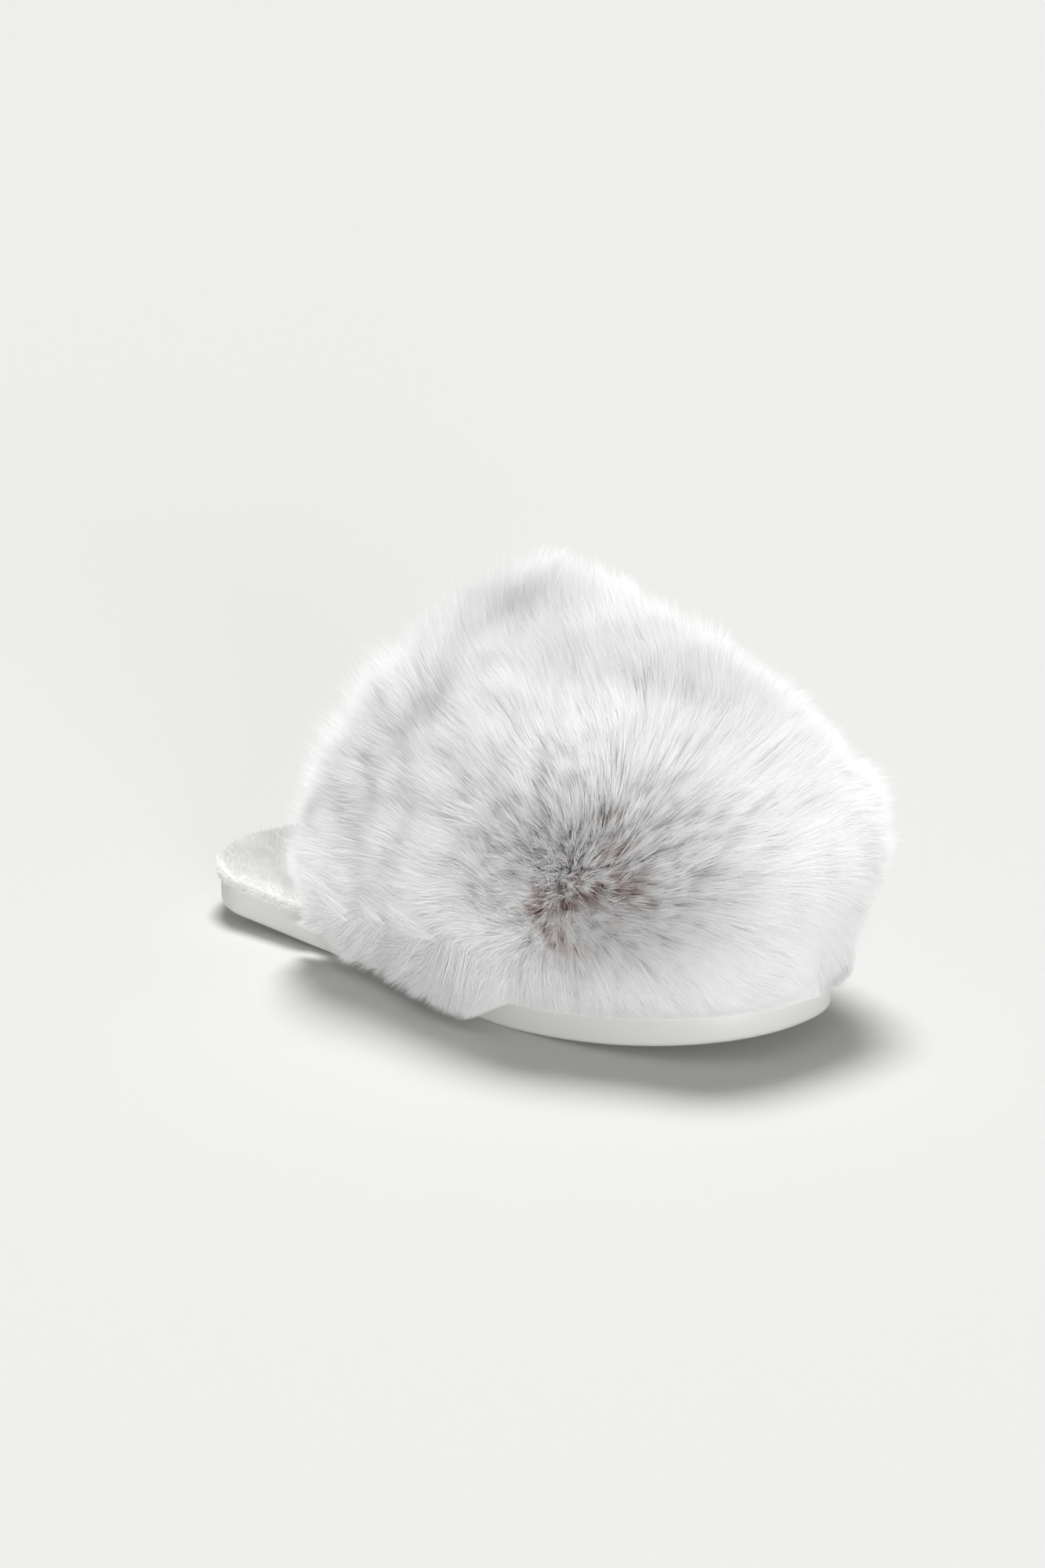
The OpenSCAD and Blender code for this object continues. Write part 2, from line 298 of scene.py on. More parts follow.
# gives a finished piece its material and its body, and hides the node it stands for
def finishPiece(piece, material, node):
    piece.data.materials.clear()
    piece.data.materials.append(material)
    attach(piece, "root")
    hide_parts(node)


def newMaterial(name, colour, rough, **sockets):
    mat = bpy.data.materials.new(name)
    mat.use_nodes = True
    shader = mat.node_tree.nodes["Principled BSDF"]
    shader.inputs["Base Color"].default_value = (*colour, 1)
    shader.inputs["Roughness"].default_value = rough
    for key, value in sockets.items():
        shader.inputs[key.replace("_", " ")].default_value = value
    return mat, mat.node_tree, shader


def colourRamp(tree, factor, stops):
    node = tree.nodes.new("ShaderNodeValToRGB")
    node.color_ramp.elements[0].position = stops[0][0]
    node.color_ramp.elements[0].color = (*stops[0][1], 1)
    node.color_ramp.elements[1].position = stops[-1][0]
    node.color_ramp.elements[1].color = (*stops[-1][1], 1)
    for place, colour in stops[1:-1]:
        node.color_ramp.elements.new(place).color = (*colour, 1)
    tree.links.new(factor, node.inputs["Fac"])
    return node.outputs["Color"]


# links a socket's value, or sets it
def setSocket(tree, socket, value):
    if isinstance(value, bpy.types.NodeSocket):
        tree.links.new(value, socket)
    elif isinstance(value, tuple):
        socket.default_value = (*value, 1) if socket.type == "RGBA" else value
    else:
        socket.default_value = value


def mixColour(tree, kind, factor, a, b):
    node = tree.nodes.new("ShaderNodeMix")
    node.data_type = "RGBA"
    node.blend_type = kind
    for socket, value in ((node.inputs[0], factor), (node.inputs[6], a), (node.inputs[7], b)):
        setSocket(tree, socket, value)
    return node.outputs[2]


def doMath(tree, kind, a, b=0.5):
    node = tree.nodes.new("ShaderNodeMath")
    node.operation = kind
    setSocket(tree, node.inputs[0], a)
    setSocket(tree, node.inputs[1], b)
    return node.outputs[0]


def addTexture(tree, kind, coords, **values):
    node = tree.nodes.new(kind)
    for key, value in values.items():
        if hasattr(node, key):
            setattr(node, key, value)
        else:
            setSocket(tree, node.inputs[key.replace("_", " ")], value)
    tree.links.new(coords, node.inputs["Vector"])
    return node


# a node group: sockets are (name, type, default), and fill adds what is inside
def makeGroup(name, inputs, outputs, fill):
    group = bpy.data.node_groups.new(name, "ShaderNodeTree")
    for title, kind, default in inputs:
        socket = group.interface.new_socket(title, in_out="INPUT", socket_type=kind)
        if default is not None:
            socket.default_value = default
    for title, kind in outputs:
        group.interface.new_socket(title, in_out="OUTPUT", socket_type=kind)
    start, end = group.nodes.new("NodeGroupInput"), group.nodes.new("NodeGroupOutput")
    for title, value in fill(group, start.outputs).items():
        group.links.new(value, end.inputs[title])
    return group


# threads that cross, with a little fuzz
def fillWeave(tree, sockets):
    scaled = tree.nodes.new("ShaderNodeVectorMath")
    scaled.operation = "SCALE"
    tree.links.new(sockets["Coordinates"], scaled.inputs[0])
    tree.links.new(sockets["Scale"], scaled.inputs["Scale"])
    split = tree.nodes.new("ShaderNodeSeparateXYZ")
    tree.links.new(scaled.outputs[0], split.inputs[0])
    waves = [doMath(tree, "SINE", split.outputs[axis]) for axis in ("X", "Y", "Z")]
    height = doMath(tree, "MULTIPLY", doMath(tree, "ADD", waves[0], waves[2]), waves[1])
    level = doMath(tree, "MULTIPLY_ADD", height, 0.25)
    fuzz = addTexture(tree, "ShaderNodeTexNoise", scaled.outputs[0], Scale=1.7, Detail=3.0)
    level = doMath(tree, "ADD", level, doMath(tree, "MULTIPLY", fuzz.outputs["Fac"], 0.4))
    colour = mixColour(tree, "MIX", level, sockets["Deep Color"], sockets["Top Color"])
    return {"Color": colour, "Height": level}


# fine cells, with broad changes of tone
def fillGrain(tree, sockets):
    coords, scale = sockets["Coordinates"], sockets["Scale"]
    fine = addTexture(tree, "ShaderNodeTexNoise", coords, Scale=scale, Detail=4.0)
    cells = addTexture(tree, "ShaderNodeTexVoronoi", coords, Scale=scale)
    pits = doMath(tree, "MULTIPLY", cells.outputs["Distance"], 0.6)
    broad = addTexture(tree, "ShaderNodeTexNoise", coords, Scale=28.0, Detail=2.0)
    level = doMath(tree, "MULTIPLY_ADD", broad.outputs["Fac"], 0.5)
    level = doMath(tree, "ADD", level, doMath(tree, "MULTIPLY", fine.outputs["Fac"], 0.3))
    colour = mixColour(tree, "MIX", level, sockets["Deep Color"], sockets["Top Color"])
    return {"Color": colour, "Height": doMath(tree, "ADD", fine.outputs["Fac"], pits)}


vectorKind, floatKind, colourKind = "NodeSocketVector", "NodeSocketFloat", "NodeSocketColor"
groupInputs = [("Coordinates", vectorKind, None), ("Scale", floatKind, 1000.0),
               ("Deep Color", colourKind, None), ("Top Color", colourKind, None)]
groupOutputs = [("Color", colourKind), ("Height", floatKind)]
weave = makeGroup("clothWeave", groupInputs, groupOutputs, fillWeave)
grain = makeGroup("foamGrain", groupInputs, groupOutputs, fillGrain)

# each surface: its group, that group's scale, deep and top colours, roughness and relief
surfaces = {
    "backingKnit": (weave, 3600.0, (0.30, 0.17, 0.13), (0.62, 0.45, 0.38), 0.9, 0.6),
    "plushGround": (weave, 4200.0, (0.72, 0.71, 0.69), (0.93, 0.932, 0.93), 0.9, 0.5),
    "bindingTape": (weave, 5200.0, (0.74, 0.73, 0.71), (0.90, 0.895, 0.88), 0.6, 0.7),
    "sewingThread": (weave, 9000.0, (0.66, 0.65, 0.63), (0.92, 0.915, 0.90), 0.5, 0.5),
    "toeStiffener": (weave, 3000.0, (0.40, 0.40, 0.41), (0.60, 0.60, 0.61), 0.7, 0.4),
    "soleFoam": (grain, 1500.0, (0.67, 0.675, 0.64), (0.74, 0.745, 0.715), 0.42, 0.05),
    "insoleBoard": (grain, 700.0, (0.42, 0.31, 0.20), (0.62, 0.50, 0.36), 0.85, 0.3),
    "footbedFoam": (grain, 1100.0, (0.70, 0.68, 0.60), (0.88, 0.86, 0.78), 0.9, 0.5),
    "paddingFoam": (grain, 1300.0, (0.72, 0.70, 0.58), (0.90, 0.88, 0.74), 0.9, 0.5),
}
# each pile: its roots' and tips' colours, how far up the roots' colour goes, and the darkest hair's level
piles = {
    "furPile": ((0.955, 0.95, 0.95), (0.99, 0.99, 0.99), 0.3, 0.90),
    "plushPile": ((0.93, 0.925, 0.92), (0.985, 0.985, 0.98), 0.5, 0.95),
}
bareColour = (0.64, 0.41, 0.33)
bareTint = 0.1             # hairs with a lower tint than this have the bare colour


# a material whose colour and relief come from one of the groups
def surfaceMaterial(name, **sockets):
    group, scale, deep, top, rough, relief = surfaces[name]
    mat, tree, shader = newMaterial(name, top, rough, **sockets)
    coords = tree.nodes.new("ShaderNodeTexCoord").outputs["Object"]
    node = tree.nodes.new("ShaderNodeGroup")
    node.node_tree = group
    tree.links.new(coords, node.inputs["Coordinates"])
    node.inputs["Scale"].default_value = scale
    node.inputs["Deep Color"].default_value = (*deep, 1)
    node.inputs["Top Color"].default_value = (*top, 1)
    tree.links.new(node.outputs["Color"], shader.inputs["Base Color"])
    bump = tree.nodes.new("ShaderNodeBump")
    bump.inputs["Strength"].default_value = relief
    bump.inputs["Distance"].default_value = 0.0004
    tree.links.new(node.outputs["Height"], bump.inputs["Height"])
    tree.links.new(bump.outputs["Normal"], shader.inputs["Normal"])
    return mat


# a pile's material, which reads each hair's own tint and the way from root to tip off the map
def pileMaterial(name):
    rootColour, tipColour, rootEnd, darkest = piles[name]
    mat, tree, shader = newMaterial(name, tipColour, 0.7, Sheen_Weight=0.1, Sheen_Roughness=0.5,
                                    Specular_IOR_Level=0.2)
    uv = tree.nodes.new("ShaderNodeUVMap")
    uv.uv_map = "OFBake"
    split = tree.nodes.new("ShaderNodeSeparateXYZ")
    tree.links.new(uv.outputs["UV"], split.inputs["Vector"])
    tint, height = split.outputs["X"], split.outputs["Y"]
    along = colourRamp(tree, height, [(0.0, rootColour), (rootEnd, tipColour), (1.0, tipColour)])
    if name == "furPile":
        # the under-hairs of the parting have the lowest tints and the ground's colour
        warm = colourRamp(tree, height, [(0.0, bareColour), (0.6, bareColour), (1.0, tipColour)])
        along = mixColour(tree, "MIX", doMath(tree, "LESS_THAN", tint, bareTint), along, warm)
    own = colourRamp(tree, tint, [(0.1, (darkest,) * 3), (0.45, (0.965, 0.966, 0.97)), (0.7, (1, 1, 1))])
    tree.links.new(mixColour(tree, "MULTIPLY", 1.0, along, own), shader.inputs["Base Color"])
    return mat


furMaterial, plushMaterial = pileMaterial("furPile"), pileMaterial("plushPile")
soleMaterial = surfaceMaterial("soleFoam", Specular_IOR_Level=0.45)
groundMaterial, foamMaterial = surfaceMaterial("plushGround"), surfaceMaterial("footbedFoam")
boardMaterial, threadMaterial = surfaceMaterial("insoleBoard"), surfaceMaterial("sewingThread")
for node, material in (("insole_board", boardMaterial), ("insole_seam", threadMaterial),
                       ("binding_stitches", threadMaterial)):
    for matSlot in nodes[node].material_slots:
        matSlot.material = material
print("materials made")


# selects, in edit mode, the faces or edges whose corners in millimetres and normal pass the test
def selectIn(piece, kind, test):
    bpy.ops.mesh.select_all(action="DESELECT")
    bpy.ops.object.mode_set(mode="OBJECT")
    bpy.context.tool_settings.mesh_select_mode = (False, kind == "edges", kind == "faces")
    verts = piece.data.vertices
    for item in (piece.data.edges if kind == "edges" else piece.data.polygons):
        points = [verts[i].co / mm for i in item.vertices]
        item.select = bool(test(points, getattr(item, "normal", None)))
    bpy.ops.object.mode_set(mode="EDIT")
    bpy.ops.mesh.select_mode(type="EDGE" if kind == "edges" else "FACE")


# a flat ring of points, filled, to be moved onto an outline
def startOutline(name, points):
    deselect()
    bpy.ops.mesh.primitive_circle_add(vertices=points, radius=0.1, fill_type="NGON", location=(0, 0, 0))
    piece = bpy.context.active_object
    piece.name = piece.data.name = name
    return piece


# a grid to be laid over the upper, with each point's column and row
def startGrid(name, cols, rows):
    deselect()
    bpy.ops.mesh.primitive_grid_add(x_subdivisions=cols - 1, y_subdivisions=rows - 1, size=2,
                                    location=(0, 0, 0))
    piece = bpy.context.active_object
    piece.name = piece.data.name = name
    co = np.zeros(len(piece.data.vertices) * 3)
    piece.data.vertices.foreach_get("co", co)
    co = (co.reshape(-1, 3) + 1) / 2
    return piece, np.round(co[:, 0] * (cols - 1)).astype(int), np.round(co[:, 1] * (rows - 1)).astype(int)


def layGrid(piece, place):
    piece.data.vertices.foreach_set("co", (place * mm).ravel())
    bpy.ops.object.mode_set(mode="EDIT")
    bpy.ops.mesh.select_all(action="SELECT")
    bpy.ops.mesh.remove_doubles(threshold=0.00002)


# the grid's first and last lines, which go down past the sole's edge
def endLines(line, count):
    return (line == 0) | (line == count - 1)


def angleOf(co):
    return math.degrees(math.atan2(-co.x, co.y)) % 360


# cuts right through at each of these places along the sole
def cutAcross(ys):
    for y in ys:
        bpy.ops.mesh.select_all(action="SELECT")
        bpy.ops.mesh.bisect(plane_co=(0, y * mm, 0), plane_no=(0, 1, 0))


# curves the flat shape up with the sole
def finishShape(piece, angle):
    bpy.ops.mesh.select_all(action="SELECT")
    bpy.ops.mesh.normals_make_consistent(inside=False)
    bpy.ops.object.mode_set(mode="OBJECT")
    for v in piece.data.vertices:
        v.co.z += float(liftAt(v.co.y / mm)) * mm
    bpy.ops.object.shade_smooth_by_angle(angle=math.radians(angle))


def buildOutsole():
    piece = startOutline("outsole_shell", sole["points"])
    for v in piece.data.vertices:
        p = rimPoint(angleOf(v.co))
        v.co = (p[0] * mm, p[1] * mm, 0)
    wall, cup, soft = sole["wall"], sole["cup"], sole["topBevel"]
    bpy.ops.object.mode_set(mode="EDIT")
    bpy.ops.mesh.select_all(action="SELECT")
    bpy.ops.mesh.extrude_region_move(TRANSFORM_OT_translate={"value": (0, 0, (wall - soft) * mm)})
    # the rim's outer edge, rounded in two steps
    bpy.ops.mesh.inset(thickness=0.3 * soft * mm, depth=0.7 * soft * mm)
    bpy.ops.mesh.inset(thickness=0.7 * soft * mm, depth=0.3 * soft * mm)
    bpy.ops.mesh.inset(thickness=(sole["rim"] - soft) * mm)
    bpy.ops.mesh.extrude_region_move(TRANSFORM_OT_translate={"value": (0, 0, (cup - wall) * mm)})
    selectIn(piece, "edges", lambda pts, n: all(abs(p.z) < close for p in pts))
    bpy.ops.mesh.bevel(offset=sole["bottomBevel"] * mm, segments=4, affect="EDGES")
    # the tread: a border, then two rows of straight grooves
    groove, pitch = sole["treadGroove"], sole["treadPitch"]
    count = int((sole["flatBack"] - sole["flatFront"] - groove) // pitch)
    first = (sole["flatBack"] + sole["flatFront"] - (count - 1) * pitch) / 2
    grooves = [first + i * pitch for i in range(count)]
    selectIn(piece, "faces", lambda pts, n: len(pts) > 100 and abs(pts[0].z) < close)
    bpy.ops.mesh.inset(thickness=(sole["treadBorder"] - sole["bottomBevel"]) * mm)
    stations = [y + side * groove / 2 for y in grooves for side in (-1, 1)]
    stations += list(np.linspace(sole["flatBack"], halfLen - sole["lastCut"], sole["cuts"][0]))
    stations += list(np.linspace(sole["flatFront"], sole["lastCut"] - halfLen, sole["cuts"][1]))
    cutAcross(stations)
    for x in (-groove, groove):
        bpy.ops.mesh.select_all(action="SELECT")
        bpy.ops.mesh.bisect(plane_co=(x * mm, 0, 0), plane_no=(1, 0, 0))

    def inGroove(pts, n):
        mid = sum(pts, Vector()) / len(pts)
        edge = float(halfWidth((halfLen - mid.y) / sole["length"])) - sole["treadBorder"]
        return (all(abs(p.z) < close for p in pts) and groove < abs(mid.x) < edge
                and any(abs(mid.y - y) < groove / 2 for y in grooves))
    selectIn(piece, "faces", inGroove)
    bpy.ops.mesh.extrude_region_move(TRANSFORM_OT_translate={"value": (0, 0, sole["treadDepth"] * mm)})
    finishShape(piece, 40)
    finishPiece(piece, soleMaterial, "outsole")


footbed = {
    # each layer: its inset at the bare heel, lower and upper heights, and bevel
    "base_foam_pad": (sole["rim"] + upper["gap"], 6.95, 9.35, 0.3),
    "soft_foam_pad": (sole["rim"] + upper["gap"], 9.5, 11.5, 0.5),
    "sock_pad": (-0.6, 11.65, 14.6, 1.3),
    "points": 144,
    "cuts": 12,            # across it behind and before the flat
    "lastCuts": (2.0, 12.0),   # how far from the sole's heel and toe the last ones are
}


# a layer of the footbed
def buildLayer(name, material, node):
    inset, low, high, bevel = footbed[name]
    piece = startOutline(name, footbed["points"])
    for v in piece.data.vertices:
        p = bedPoint(angleOf(v.co), inset)
        v.co = (p[0] * mm, p[1] * mm, low * mm)
    bpy.ops.object.mode_set(mode="EDIT")
    bpy.ops.mesh.select_all(action="SELECT")
    bpy.ops.mesh.extrude_region_move(TRANSFORM_OT_translate={"value": (0, 0, (high - low) * mm)})
    selectIn(piece, "edges", lambda pts, n: abs(pts[0].z - pts[1].z) < close)
    bpy.ops.mesh.bevel(offset=bevel * mm, segments=3, affect="EDGES")
    heelCut, toeCut = footbed["lastCuts"]
    stations = list(np.linspace(sole["flatBack"], halfLen - heelCut, footbed["cuts"]))
    stations += list(np.linspace(sole["flatFront"], toeCut - halfLen, footbed["cuts"]))
    middle = (sole["flatBack"] + sole["flatFront"]) / 2
    cutAcross(stations + [middle])
    finishShape(piece, 50)
    finishPiece(piece, material, node)
    return piece


shells = {
    # each layer: its rear edge, outer face, the share of that at the sole, thickness, rows and columns
    "backing_cloth": (upper["sideBack"], 0.0, 1.0, upper["cloth"], 60, 73),
    "toe_puff_shell": (upper["puffLength"] - halfLen, -upper["puffIn"], upper["thinEdge"], 0.8, 36, 61),
    "padding_foam": (upper["sideBack"], -upper["paddingIn"] - 0.1, upper["thinEdge"], 2.4, 48, 61),
    "lining_cloth": (upper["sideBack"], -upper["liningIn"] - 0.1, upper["thinEdge"], 1.6, 48, 73),
}


# a layer of the upper: a fine grid laid over the arches, then thickened inwards
def buildShell(name, material, node):
    back, out, thin, thick, rows, cols = shells[name]
    piece, col, row = startGrid(name, cols, rows)
    start = angleAt(back)
    deg = start + (180 - start) * np.sin(np.radians(row / (rows - 1) * 90))
    f = np.clip((col - 1) / (cols - 3), 0, 1) * 180
    place = upperPoint(deg, f, out, thin)
    place[:, 2] -= np.where(endLines(col, cols), upper["skirt"], 0)
    layGrid(piece, place)
    bpy.ops.mesh.normals_make_consistent(inside=False)
    bpy.ops.object.mode_set(mode="OBJECT")
    # the grid is open below, so the side that faces out is set by the crest
    top = max(piece.data.polygons, key=lambda p: p.center.z)
    if top.normal.z < 0:
        piece.data.flip_normals()
    solid = piece.modifiers.new("thickness", "SOLIDIFY")
    solid.thickness = thick * mm
    solid.offset = -1
    bpy.ops.object.modifier_apply(modifier="thickness")
    bpy.ops.object.shade_smooth_by_angle(angle=math.radians(50))
    finishPiece(piece, material, node)
    return piece


buildOutsole()
baseFoam = buildLayer("base_foam_pad", foamMaterial, "base_foam")
softFoam = buildLayer("soft_foam_pad", foamMaterial, "soft_foam")
sockPad = buildLayer("sock_pad", groundMaterial, "sock_lining")
backing = buildShell("backing_cloth", surfaceMaterial("backingKnit"), "vamp_backing")
buildShell("toe_puff_shell", surfaceMaterial("toeStiffener"), "toe_puff")
padding = buildShell("padding_foam", surfaceMaterial("paddingFoam"), "vamp_padding")
lining = buildShell("lining_cloth", groundMaterial, "vamp_lining")
print("sole, footbed and shells built")

binding = {
    "width": 8.0,          # on either side of the edge
    "tape": 1.0,           # thickness
    "reach": 2.5,          # how far its ends go down beside the sock
    "low": 0.05,           # degrees over the sole where it starts
    "steps": 120,
    "roll": 2.2,           # how far the folded edge bulges back
}


# the tape's cross-section as (in from the rear edge, out from the backing), round the layers' edge and back
def bindingProfile():
    w, g, inner = binding["width"], upper["gap"], -upper["cavityIn"]
    outs = g + binding["tape"]
    arc = np.radians(np.linspace(90, 270, 13))
    centre, reach = inner / 2, -inner / 2
    profile = [(w, outs)] + [(binding["roll"] * np.cos(a), centre + (reach + outs) * np.sin(a)) for a in arc]
    profile += [(w, inner - outs)]
    profile += [(w, inner - g)]
    profile += [((binding["roll"] - 1) * np.cos(a), centre + (reach + g) * np.sin(a)) for a in arc[::-1]]
    profile += [(w, g), (w, outs)]
    return np.array(profile)


def buildBinding():
    profile = bindingProfile()
    cols, rows = len(profile), binding["steps"] + 2
    piece, col, row = startGrid("binding_tape", cols, rows)
    f = binding["low"] + (180 - 2 * binding["low"]) * np.clip((row - 1) / (rows - 3), 0, 1)
    u = profile[col]
    deg = np.degrees(np.arccos((upper["sideBack"] - u[:, 0]) / halfLen))
    place = upperPoint(deg, f, u[:, 1], np.where(u[:, 1] > 0, 1.0, upper["thinEdge"]))
    # the first and last rows close off the layers' cut ends
    place[:, 2] -= np.where(endLines(row, rows), binding["reach"], 0)
    layGrid(piece, place)
    bpy.ops.mesh.select_all(action="DESELECT")
    bpy.ops.mesh.select_mode(type="EDGE")
    bpy.ops.mesh.select_non_manifold()
    bpy.ops.mesh.fill()
    bpy.ops.mesh.select_all(action="SELECT")
    bpy.ops.mesh.normals_make_consistent(inside=False)
    bpy.ops.object.mode_set(mode="OBJECT")
    bpy.ops.object.shade_smooth_by_angle(angle=math.radians(50))
    finishPiece(piece, surfaceMaterial("bindingTape"), "topline_binding")
    return piece


bindingPiece = buildBinding()
print("binding built")

plush = {
    "sockCount": 60000,
    "sockLength": 3.0,
    "sockBase": 14.4,       # height of the roots on the flat of the sock
    "sockFront": -66.0,     # how far forward its pile is made
    "sockOver": 0.4,        # how far it stands past the bare heel's outline
    "sockIn": 8.3,          # how much further in it stays under the upper
    "edgeCount": 12000,
    "edgeTurn": 68.0,       # degrees either side of the heel with that edge pile
    "heelFrom": 95.0,       # behind this the edge pile turns backwards too
    "liningCount": 36000,
    "liningDepth": 60.0,    # how far in from the mouth the pile is made
    "width": 0.32,
    "seed": 5,
}


def plushTint(rng, root, seed):
    return 0.6 + 0.15 * lumps(root, 12, seed) + rng.normal(0, 0.12, len(root))


# the pile on top of the sock, as roots, middles, tips and the way each hair faces
def topPile(rng):
    need = plush["sockCount"]
    y = rng.uniform(plush["sockFront"], halfLen + plush["sockOver"], need * 2)
    t = np.clip((halfLen - y) / sole["length"], 0, 1)
    x = centreX(t) + rng.uniform(-1, 1, need * 2) * 46
    wide, narrow = (upper["sideBack"] + step for step in upper["bedStep"])
    inset = -plush["sockOver"] + plush["sockIn"] * ramp(wide, narrow, y)
    edge = halfWidth(t) - inset - np.abs(x - centreX(t))
    inside = np.flatnonzero(edge > 0.15)[:need]
    x, y, edge, t = x[inside], y[inside], edge[inside], t[inside]
    count = len(x)
    # close to the bare heel's edge the pile turns outwards and down
    outDir = unit(np.stack([x - centreX(t), np.maximum(y - plush["heelFrom"], 0)], -1))
    fromEnd = halfLen + plush["sockOver"] - y
    over = 1 - ramp(0, 4.5, np.minimum(edge, fromEnd * 1.4))
    root = np.stack([x, y, plush["sockBase"] - 1.6 * over ** 2 + liftAt(y)], -1)
    lean = rng.normal(0, 0.55, (count, 2)) + (0, 0.5)
    lean = lean + np.stack([lumps(root, 9, 31), lumps(root, 9, 32)], -1) * 0.9
    lean = lean + outDir * (over * 1.9)[:, None]
    length = plush["sockLength"] * rng.uniform(0.65, 1.05, count) * (1 + 0.12 * lumps(root, 7, 33))
    rise = (length * (1 - 0.75 * over))[:, None]
    tip = root + np.hstack([lean, rise])
    mid = root + rise * (0, 0, 0.6)
    return root, mid, tip, np.hstack([outDir * 0.7, np.ones((count, 1))])


# more pile round the bare heel's side, which hides the pad's edge
def edgePile(rng):
    count = plush["edgeCount"]
    turn = rng.uniform(-plush["edgeTurn"], plush["edgeTurn"], count) % 360
    rim, past = bedPoint(turn, -0.3), bedPoint(turn, -1.3)
    high = rng.uniform(0, 1, count)
    root = np.column_stack([rim, 12.0 + 2.3 * high + liftAt(rim[:, 1])])
    push = (past - rim) * rng.uniform(0.7, 1.9, count)[:, None]
    tip = root + np.column_stack([push + rng.normal(0, 0.35, (count, 2)),
                                  rng.normal(0, 0.5, count) + 2.0 * high ** 2 - 0.7])
    return root, (root + tip) / 2, tip, np.column_stack([past - rim, 0.6 + 0 * high])


def growSockPile():
    rng = makeRng(plush["seed"])
    top = topPile(rng)
    root, mid, tip, facing = (np.concatenate(pair) for pair in zip(top, edgePile(rng)))
    count = len(root)
    tint = plushTint(rng, root, 34)
    width = plush["width"] * rng.uniform(0.7, 1.2, count)
    facing = unit(facing + rng.normal(0, 0.3, (count, 3)))
    piece = hairMesh("sock_pile", root, mid, tip, width, tint, facing, 61)
    finishPiece(piece, plushMaterial, "sock_lining")


def growLiningPile():
    rng = makeRng(plush["seed"] + 1)
    count = plush["liningCount"]
    start = angleAt(upper["sideBack"] - 1.0)
    stop = angleAt(upper["sideBack"] - plush["liningDepth"])
    deg, f = rng.uniform(start, stop, count), rng.uniform(1.5, 178.5, count)
    thin = upper["thinEdge"]
    root = upperPoint(deg, f, -upper["liningIn"] - 1.6, thin)
    tipF = np.clip(f + rng.normal(0, 1.0, count) + np.sign(f - 90) * 0.8, 1, 179)
    tipDeg = deg + rng.normal(0, 0.35, count)
    tip = upperPoint(tipDeg, tipF, -upper["cavityIn"] * rng.uniform(0.93, 1.03, count), thin)
    tint = plushTint(rng, root, 35)
    width = plush["width"] * rng.uniform(0.8, 1.3, count)
    facing = unit(unit(root - tip) + rng.normal(0, 0.5, (count, 3)))
    piece = hairMesh("lining_pile", root, (root + tip) / 2, tip, width, tint, facing, 62)
    finishPiece(piece, plushMaterial, "vamp_lining")


growSockPile()
growLiningPile()
print("plush grown")

fur = {
    "count": 450000,
    "pieces": 8,
    "length": 31.0,         # how far the pile stands off the backing
    "edgeLength": 9.0,      # down at the sole
    "back": 11.0,           # how far it hangs over the rear edge
    "combed": 17.0,         # how far the tips lie over along the skin
    "width": 0.30,
    "underShare": 0.4,      # share of the hairs that are shorter under-hairs
    "parting": (-37.4, -80.7, 60.5),
    "partingRadius": 30.0,
    "partingDepth": 0.2,    # how much shorter the hairs are there
    "partingTail": (-41.0, -66.0, 45.0),   # the bare specks reach back and down to here
    "partingTurn": (7.5, -1.5),   # degrees along and over by which the hairs there point aside
    "turnReach": 62.0,      # how far round the parting they do
    "speckSize": 1.8,
    "bareLength": 0.80,
    "crest": 0.17,          # extra length over the instep
    "toe": 0.13,            # and at the toe
    "swirl": (-43.7, -19.3, 16.3),
    "swirlSize": 13.0,
    "swirlPull": 0.7,
    "wander": (42, 30, 9),  # degrees by which large waves, small waves and single hairs turn aside
    "locks": ((8.0, 0.24, 21), (3.0, 0.42, 22), (1.4, 0.5, 23)),   # size, how tightly it gathers, seed
    "lockTurn": (0.5, 0.9), # degrees along and over by which locks point apart
    "strayTurn": (0.35, 0.8),   # and single hairs
    "tuftGather": 1.6,      # how much more the largest locks gather at the rear of the outer side
    "tuftHeight": 1.3,
    "hangDown": 9.0,        # how far the lowest hairs hang over the sole's wall
    "hangOut": 6.0,
    "tint": (0.58, 0.14, 0.2),   # middle, and how much patches and single hairs differ
    "seed": 11,
}


# v without what points out of the skin
def onSkin(v, normal):
    return v - normal * (v * normal).sum(1, keepdims=True)


# roots spread evenly over the skin's area, as degrees round the outline and over the arch
def spreadRoots(rng, count):
    rear = angleAt(upper["sideBack"])
    degs = rear + (180 - rear) * np.sin(np.radians(np.linspace(0, 89.0, 150)))
    fs = np.linspace(0.6, 179.4, 170)
    grid = upperPoint(degs[:, None], fs[None], 0.0, 1.0)
    e1, e2 = grid[1:, :-1] - grid[:-1, :-1], grid[:-1, 1:] - grid[:-1, :-1]
    area = np.linalg.norm(np.cross(e1, e2), axis=-1)
    chosen = rng.choice(area.size, count, p=(area / area.sum()).ravel())
    i, j = np.unravel_index(chosen, area.shape)
    u, v = rng.uniform(0, 1, (2, count))
    return degs[i] + (degs[i + 1] - degs[i]) * u, fs[j] + (fs[j + 1] - fs[j]) * v


